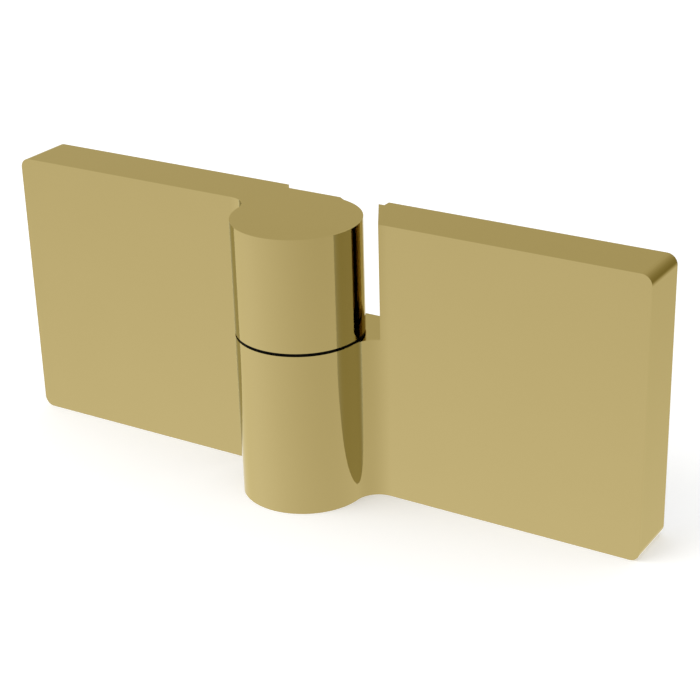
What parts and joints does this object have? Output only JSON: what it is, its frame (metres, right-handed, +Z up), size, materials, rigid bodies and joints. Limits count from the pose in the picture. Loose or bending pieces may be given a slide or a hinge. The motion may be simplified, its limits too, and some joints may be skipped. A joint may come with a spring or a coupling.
{
  "type": "shower door hinge",
  "caption": "Lift hinge for a glass shower door: block leaves on two glass panes, joined by a split barrel whose helical cams raise the door as it opens.",
  "frame": {"origin": "midway between the two panes' edges in plan, on the panes' room-side face, at the leaves' mid-height: the barrel's axis crosses X = 0 in front of it", "axes": "+X along the leaves from the door to the fixed pane, +Y from the room into the shower, square to the glass, +Z up along the barrel's axis"},
  "size_m": [0.149, 0.0382, 0.06],
  "materials": {
    "polished_brass": "mirror polished, clear lacquered",
    "stainless": "turned",
    "acetal_black": "moulded, satin",
    "bush_nylon": "moulded, natural",
    "gasket_pvc": "soft, translucent grey"
  },
  "bodies": {
    "fixed_side": {"fixed_leaf": "polished_brass", "fixed_gasket": "gasket_pvc", "fixed_upper_bush": "bush_nylon", "fixed_upper_disc": "polished_brass", "fixed_upper_screw": "stainless", "fixed_lower_bush": "bush_nylon", "fixed_lower_disc": "polished_brass", "fixed_lower_screw": "stainless", "lower_cam": "acetal_black", "lower_cam_screw": "stainless", "split_ring": "acetal_black", "bottom_plug": "polished_brass"},
    "spindle_set": {"spindle": "stainless", "circlip": "stainless", "stop_washer": "stainless", "stop_screw": "stainless"},
    "door_side": {"door_leaf": "polished_brass", "door_gasket": "gasket_pvc", "door_upper_bush": "bush_nylon", "door_upper_disc": "polished_brass", "door_upper_screw": "stainless", "door_lower_bush": "bush_nylon", "door_lower_disc": "polished_brass", "door_lower_screw": "stainless", "upper_cam": "acetal_black", "upper_cam_screw": "stainless", "thrust_washer": "acetal_black"}
  },
  "joints": [
    {"name": "lift", "type": "slide", "parent": "fixed_side", "child": "spindle_set", "axis": [0, 0, 1], "range_m": [0, 0.005]},
    {"name": "swing", "type": "hinge", "parent": "spindle_set", "child": "door_side", "pos_m": [0, -0.01683, 0], "axis": [0, 0, 1], "range_deg": [0, 100]}
  ],
  "couplings": [
    {"joint": "lift", "follows": "swing", "m_per_rad": 0.0028648}
  ]
}
